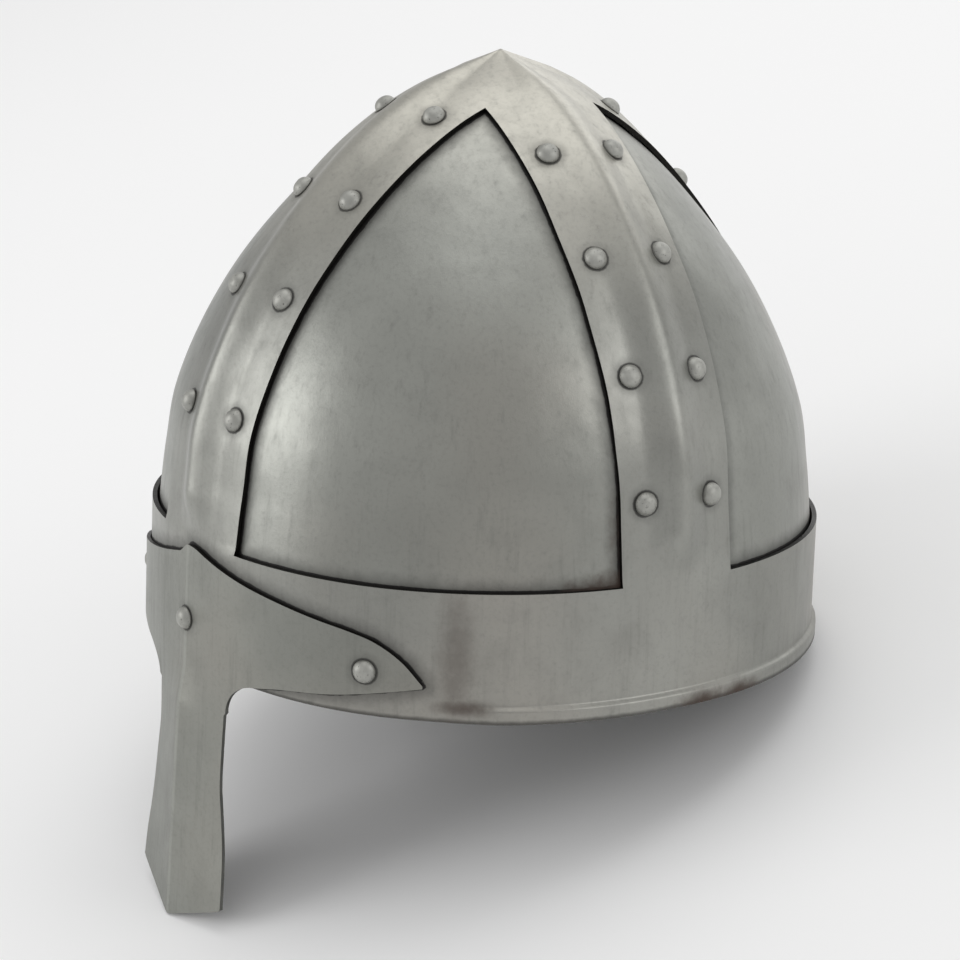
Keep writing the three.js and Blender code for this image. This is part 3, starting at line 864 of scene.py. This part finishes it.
def plain_steel(name, tint, roughness, dirt_and_shade=None):
    """Steel of the inside and of the cut edges, which can be darkened where a mask is near 0: blackening and
    painted shade on the cut edges beside a gap.
    """
    graph = Graph(name)
    objects = graph.node("TexCoord", output="Object")
    patch = graph.noise(objects, INSIDE_PATCH)
    base = graph.blend(patch.step(0.35, 0.7), tinted(tint, 0.7), tint)
    if dirt_and_shade:
        base = graph.blend(graph.mask(dirt_and_shade).step(0.001, 0.004, 0.93, 0), base, colours().grime_and_shade)
    relief = graph.noise(objects, INSIDE_SPECKS)
    return graph.finish(Base_Color=base, Metallic=0.9, Roughness=roughness + (patch - 0.5) * 0.2,
                        Normal=graph.bump(relief, 0.4, 0.0004))


def finishes(key, dirt_and_shade=None, **settings):
    """Outside, inside and cut-edge finish of a sheet: the cut edges are a darker copy of the outer tint and
    may carry painted shade and blackening.
    """
    tint = tuple(getattr(colours(), key))
    inside = tuple(colours().inside)
    return [steel(f"{key}_steel", tint, **settings), plain_steel(f"{key}_inside", inside, 0.55),
            plain_steel(f"{key}_edge", tinted(tint, 0.6), 0.45, dirt_and_shade)]


class HELMET_OT_cage(bpy.types.Operator):
    """Builds the cage: brow band and four ribs in one sheet"""
    bl_idname = "helmet.cage"
    bl_label = "Cage"

    def execute(self, context):
        size = skull()
        skin = Skin(Skin.BAND)
        top = skin.window_top()
        lip = [size.lip_height * share for share in LIP_KNOTS]
        knots = [0, *lip, size.band_height, top, skin.apex]
        heights = [mix(a, b, i / n) for a, b, n in zip(knots, knots[1:], RIB_ROWS) for i in range(n)]
        heights.append(skin.apex)
        band_rows = sum(RIB_ROWS[:3])
        windows = seam_tree([p for rib in range(4) for p in window_outline(skin, rib)])
        guard = seam_tree(guard_outline())
        seats = seam_tree([seat.point for seat in rivet_seats()])

        def masks(point):
            guard_away = guard_cover(point) * guard.find(point)[2]
            window_away = windows.find(point)[2]
            return {"seam": guard_away, "edge": window_away, "rivet": seats.find(point)[2]}

        def dress(angle, z, offset=None):
            point, normal = skin.point(angle, z), skin.normal(angle, z)
            level = math.hypot(normal.x, normal.y)
            lift = ridge_lift(offset, z) * level if offset is not None else 0
            out = band_reach(point) + lift + waver(point, *CAGE_WAVER) - FACE_DROP
            return point + normal * out, masks(point)

        bm = bmesh.new()
        for rib in range(4):
            half = skin.rib_width(rib)

            def on_rib(across, up, rib=rib, half=half):
                z = heights[round(up * (len(heights) - 1))]
                share = 2 * across - 1
                offset = half * mix(share ** 3, share, RIB_SPREAD)
                grown = smooth(z - size.band_height, 0, STRAY_RUN_IN) * smooth(top - z, 0, STRAY_RUN_IN)
                stray = Vector((rib * STRAY_STEP + math.copysign(STRAY_SIDE, share), 0, z))
                edge = waver(stray, EDGE_WAVER_SCALE, size.wander, STRAY_SEED) * grown * share ** 3
                angle = skin.rib_angle(rib, offset * skin.rib_share(z) + edge, z)
                return dress(angle, z, offset)

            def on_band(across, up, rib=rib):
                z = heights[round(up * band_rows)]
                start, end = skin.window_angles(rib, z)
                return dress(mix(start, end, across), z)

            add_sheet(bm, RIB_COLUMNS, len(heights) - 1, on_rib)
            add_sheet(bm, BAND_COLUMNS, band_rows, on_band)
        # Cut edges at the windows get painted shade and blackening
        # The painted warm highlight over the crown fades in between the two heights given
        materials = finishes("cage", dirt_and_shade="edge", warm_height=(0.1, 0.185), roughness=0.38,
                             stains=CAGE_STAINS, dark_foot=True)
        finish_piece("cage", bm, materials, ["frame"], size.sheet, CAGE_EDGE)
        return {"FINISHED"}


class HELMET_OT_plates(bpy.types.Operator):
    """Builds the four infill plates behind the windows"""
    bl_idname = "helmet.plates"
    bl_label = "Infill plates"

    def execute(self, context):
        size = skull()
        skin = Skin(Skin.SHOULDER)
        outline_skin = Skin(Skin.BAND)
        top = skin.window_top()
        ceiling = mix(top, skin.apex, PLATE_REACH)
        tuck = size.plate_spacing / 2
        # The painted warm highlight over the upper plates fades in between the two heights given
        materials = finishes("plate", warm_height=(0.13, 0.22), roughness=0.36, stains=PLATE_STAINS)
        for rib, name in enumerate(PLATE_NAMES):
            after = (rib + 1) % 4
            window = seam_tree(window_outline(outline_skin, rib))

            def on_plate(across, up, rib=rib, after=after, window=window):
                z = mix(size.band_height - size.plate_tuck, ceiling, up)
                share = skin.rib_share(z)
                start = skin.rib_angle(rib, tuck * share, z)
                end = skin.rib_angle(after, -tuck * share, z) + (4 * QUARTER if after == 0 else 0)
                angle = mix(start, end, across)
                point, normal = skin.point(angle, z), skin.normal(angle, z)
                left, right = skin.window_angles(rib, z)
                arch = 1 - (2 * (angle - left) / max(right - left, SMALLEST) - 1) ** 2 if z < top else 0
                profile = read_table(BULGE, "bulge", (z - skin.base) / (top - skin.base))
                bulge = size.plate_bulge * clamp(arch) * profile
                out = size.sheet + size.plate_gap - bulge + waver(point, *PLATE_WAVER, PLATE_SEED + rib)
                covered = z < skin.base or not left < angle < right
                away = window.find(point)[2] * (-1 if covered else 1)
                return point - normal * out, {"seam": away, "rivet": 1.0}

            bm = bmesh.new()
            add_sheet(bm, PLATE_COLUMNS, PLATE_ROWS, on_plate)
            nodes = [f"plate_{name}"]
            finish_piece(f"infill_{name}", bm, materials, nodes, size.plate_sheet, PLATE_EDGE)
        return {"FINISHED"}


class HELMET_OT_nasal(bpy.types.Operator):
    """Builds the nasal guard: a folded blade under two wings"""
    bl_idname = "helmet.nasal"
    bl_label = "Nasal guard"

    def execute(self, context):
        size, guard = skull(), nasal()
        neck_angle = math.asin(guard.neck / size.band_width)
        arc = (size.band_width + size.band_length) / 4
        fillet_end = neck_angle + guard.fillet / arc
        rim = -guard.clearance
        edge_foot = blade_point(BLADE[0].drop, 1)
        sink = edge_foot.y - wing_point(neck_angle, rim).y
        half_columns = NECK_COLUMNS + FILLET_COLUMNS + WING_COLUMNS
        seats = seam_tree([seat.point for seat in rivet_seats() if "nasal" in seat.node])

        def column(step, side):
            """Angle from the brow and height of the foot of a column outside the neck."""
            turned = min(1, step / FILLET_COLUMNS) * QUARTER
            if turned < QUARTER:
                angle = side * (neck_angle + guard.fillet * (1 - math.cos(turned)) / arc)
                return angle, mix(edge_foot.z, wing_edge(WING_FOOT, angle), math.sin(turned))
            angle = side * mix(fillet_end, guard.wing_reach, (step - FILLET_COLUMNS) / WING_COLUMNS)
            return angle, wing_edge(WING_FOOT, angle)

        def on_wings(across, up):
            signed = round((2 * across - 1) * half_columns)
            step, side = abs(signed), math.copysign(1, signed)
            if step <= NECK_COLUMNS:
                foot = blade_point(BLADE[0].drop, signed / NECK_COLUMNS)
                angle = math.asin(signed / NECK_COLUMNS * guard.neck / size.band_width)
                z = mix(foot.z, wing_edge(WING_TOP, angle), up)
                point = wing_point(angle, max(z, rim))
                point = point.lerp(foot, clamp((rim - z) / (rim - foot.z)))
            else:
                angle, low = column(step - NECK_COLUMNS, side)
                z = mix(low, wing_edge(WING_TOP, angle), up)
                point = wing_point(angle, z)
                point.y += sink * clamp((rim - z) / (rim - edge_foot.z))
            # Above the rim the wings' cut edges get painted shade and blackening
            edge = mix(UNDARKENED, 0, smooth(z, rim, -rim))
            return point, {"seam": 1.0, "edge": edge, "rivet": seats.find(point)[2]}

        def on_blade(across, up):
            share = 2 * across - 1
            drop = mix(1, BLADE[0].drop, up)
            corner = smooth(abs(share), CORNER_SIDE, 1) * smooth(drop, CORNER_DROP, 1)
            point = blade_point(drop, share)
            point.z += corner * TIP_CORNER + smooth(drop, LIFT_DROP, 1) * TIP_LIFT
            return point, {"seam": 1.0, "edge": UNDARKENED, "rivet": 1.0}

        bm = bmesh.new()
        add_sheet(bm, 2 * half_columns, WING_GRID_ROWS, on_wings)
        add_sheet(bm, 2 * NECK_COLUMNS, BLADE_GRID_ROWS, on_blade)
        # The blade's crest gets a painted highlight
        materials = finishes("nasal", dirt_and_shade="edge", roughness=0.42, worn_crest=0.0012)
        finish_piece("nasal_guard", bm, materials, ["nasal"], guard.sheet, NASAL_EDGE)
        return {"FINISHED"}


class HELMET_OT_rivets(bpy.types.Operator):
    """Builds the rivets, each a domed head, a shank and a flattened tail"""
    bl_idname = "helmet.rivets"
    bl_label = "Rivets"

    def execute(self, context):
        size = rivets()
        materials = [self.material()]
        for number, seat in enumerate(rivet_seats()):
            bm = bmesh.new()
            top = size.lift + size.height
            shank = size.tail * SHANK_SHARE
            inner = -seat.stack - size.tail_height
            outline = [(row.radius * size.head, row.height * top) for row in HEAD]
            outline += [(size.head, -size.lift), (shank, -size.lift), (shank, -seat.stack)]
            outline += [(size.tail, -seat.stack), (size.tail, inner + size.tail_height * 0.5)]
            outline += [(size.tail * TAIL_END, inner), (0, inner)]
            verts = [bm.verts.new((radius, 0, z)) for radius, z in outline]
            edges = [bm.edges.new(pair) for pair in zip(verts, verts[1:])]
            bmesh.ops.spin(bm, geom=verts + edges, cent=(0, 0, 0), axis=(0, 0, 1), angle=4 * QUARTER,
                           steps=HEAD_SIDES, use_merge=True)
            bmesh.ops.remove_doubles(bm, verts=bm.verts, dist=MERGE_DISTANCE / 2)
            bmesh.ops.recalc_face_normals(bm, faces=bm.faces)
            chance = Vector((size.seed + HEAD_STEP[0] * number, HEAD_STEP[1] * number, -number))
            for vert in bm.verts:
                if vert.co.z > 0:
                    dent = noise.noise(vert.co * HEAD_DENTS.scale + chance) * HEAD_DENTS.height
                    vert.co *= 1 - abs(dent) / size.head
            aim = Vector((0, 0, 1)).rotation_difference(seat.normal).to_matrix().to_4x4()
            spin = Matrix.Rotation(HEAD_TURN * number, 4, "Z")
            bm.transform(Matrix.Translation(seat.point) @ aim @ spin)
            name = "head_" + seat.node.removeprefix("rivet_")
            piece = finish_piece(name, bm, materials, [seat.node])
            finer = piece.modifiers.new("Finer", "SUBSURF")
            finer.levels = finer.render_levels = 1
        return {"FINISHED"}

    def material(self):
        graph = Graph("rivet_steel")
        objects = graph.node("TexCoord", output="Object")
        tint = tuple(colours().rivet)
        patch = graph.noise(objects, HEAD_PATCH)
        pits = graph.noise(objects, HEAD_PITS)
        base = graph.blend(patch.step(0.35, 0.75), tinted(tint, 0.82), tint)
        base = graph.blend(pits.step(0.62, 0.72, 0, 0.6), base, colours().grime_and_shade)
        relief = patch * 0.5 - pits.step(0.6, 0.75) * 0.5
        return graph.finish(Base_Color=base, Metallic=0.85, Roughness=0.42 + patch * 0.15,
                            Normal=graph.bump(relief, 0.5, 0.0004))


class HELMET_OT_stage(bpy.types.Operator):
    """Sets up the pale floor, the soft light and the photograph's camera"""
    bl_idname = "helmet.stage"
    bl_label = "Stage"

    def execute(self, context):
        self.floor(context)
        self.light(context)
        self.camera(context)
        return {"FINISHED"}

    def floor(self, context):
        setting = context.scene.helmet_stage
        bm = bmesh.new()
        bmesh.ops.create_grid(bm, x_segments=2, y_segments=2, size=setting.floor_size / 2)
        mesh = bpy.data.meshes.new("floor")
        bm.to_mesh(mesh)
        bm.free()
        floor = bpy.data.objects.new("floor", mesh)
        context.scene.collection.objects.link(floor)
        graph = Graph("floor")
        objects = graph.node("TexCoord", output="Object")
        cloud = graph.noise(objects, FLOOR_CLOUD)
        base = graph.blend(cloud, tinted(setting.floor, 0.97), tuple(setting.floor))
        graph.shader.inputs["Specular IOR Level"].default_value = 0.2
        mesh.materials.append(graph.finish(Base_Color=base, Roughness=0.9))

    def light(self, context):
        world = bpy.data.worlds.new("studio")
        world.use_nodes = True
        sky = world.node_tree.nodes["Background"]
        sky.inputs["Color"].default_value = (1, 1, 1, 1)
        sky.inputs["Strength"].default_value = context.scene.helmet_stage.sky
        context.scene.world = world
        context.scene.view_settings.view_transform = "Standard"
        for row in LAMPS:
            light = bpy.data.lights.new(row.name, "AREA")
            light.shape = "RECTANGLE"
            light.size = row.width
            light.size_y = row.height
            light.energy = row.power
            lamp = bpy.data.objects.new(row.name, light)
            aim = Vector(LAMP_AIM) - Vector(row.place)
            lamp.location = row.place
            lamp.rotation_euler = aim.to_track_quat("-Z", "Y").to_euler()
            context.scene.collection.objects.link(lamp)

    def camera(self, context):
        setting = context.scene.helmet_stage
        azimuth, elevation, roll = setting.azimuth, setting.elevation, setting.roll
        level = math.cos(elevation)
        back = Vector((math.sin(azimuth) * level, -math.cos(azimuth) * level, math.sin(elevation)))
        right = Vector((math.cos(azimuth), math.sin(azimuth), 0))
        up = back.cross(right)
        place = right * setting.side + Vector((0, 0, setting.target)) + back * setting.distance
        x_axis = right * math.cos(roll) + up * math.sin(roll)
        y_axis = up * math.cos(roll) - right * math.sin(roll)
        turned = Matrix((x_axis, y_axis, back)).transposed().to_4x4()
        lens = bpy.data.cameras.new("camera")
        lens.sensor_width = 36
        lens.lens = setting.focal * lens.sensor_width / setting.image
        lens.clip_start = 0.01
        camera = bpy.data.objects.new("camera", lens)
        camera.matrix_world = tipping() @ Matrix.Translation(place) @ turned
        context.scene.collection.objects.link(camera)
        context.scene.camera = camera


GROUPS = {
    "helmet_skull": SkullSizes,
    "helmet_nasal": NasalSizes,
    "helmet_rivets": RivetSizes,
    "helmet_colours": SteelColours,
    "helmet_stage": StageSettings,
}
OPERATORS = (HELMET_OT_stage, HELMET_OT_cage, HELMET_OT_plates, HELMET_OT_nasal, HELMET_OT_rivets)


class HELMET_PT_panel(bpy.types.Panel):
    """Lists the helmet's pieces, sizes and colours"""
    bl_idname = "HELMET_PT_panel"
    bl_label = "Helmet"
    bl_space_type = "VIEW_3D"
    bl_region_type = "UI"
    bl_category = "Helmet"

    def draw(self, context):
        for operator in OPERATORS:
            self.layout.operator(operator.bl_idname)
        for key, group in GROUPS.items():
            box = self.layout.box()
            box.label(text=group.__doc__)
            for name in group.__annotations__:
                box.prop(getattr(context.scene, key), name)


def register():
    for kind in (*GROUPS.values(), *OPERATORS, HELMET_PT_panel):
        bpy.utils.register_class(kind)
    for key, group in GROUPS.items():
        setattr(bpy.types.Scene, key, PointerProperty(type=group))


def unregister():
    for key in GROUPS:
        delattr(bpy.types.Scene, key)
    for kind in (HELMET_PT_panel, *OPERATORS, *GROUPS.values()):
        bpy.utils.unregister_class(kind)


def main():
    register()
    bpy.ops.helmet.stage()
    bpy.ops.helmet.cage()
    bpy.ops.helmet.plates()
    bpy.ops.helmet.nasal()
    bpy.ops.helmet.rivets()


if __name__ == "__main__":
    main()
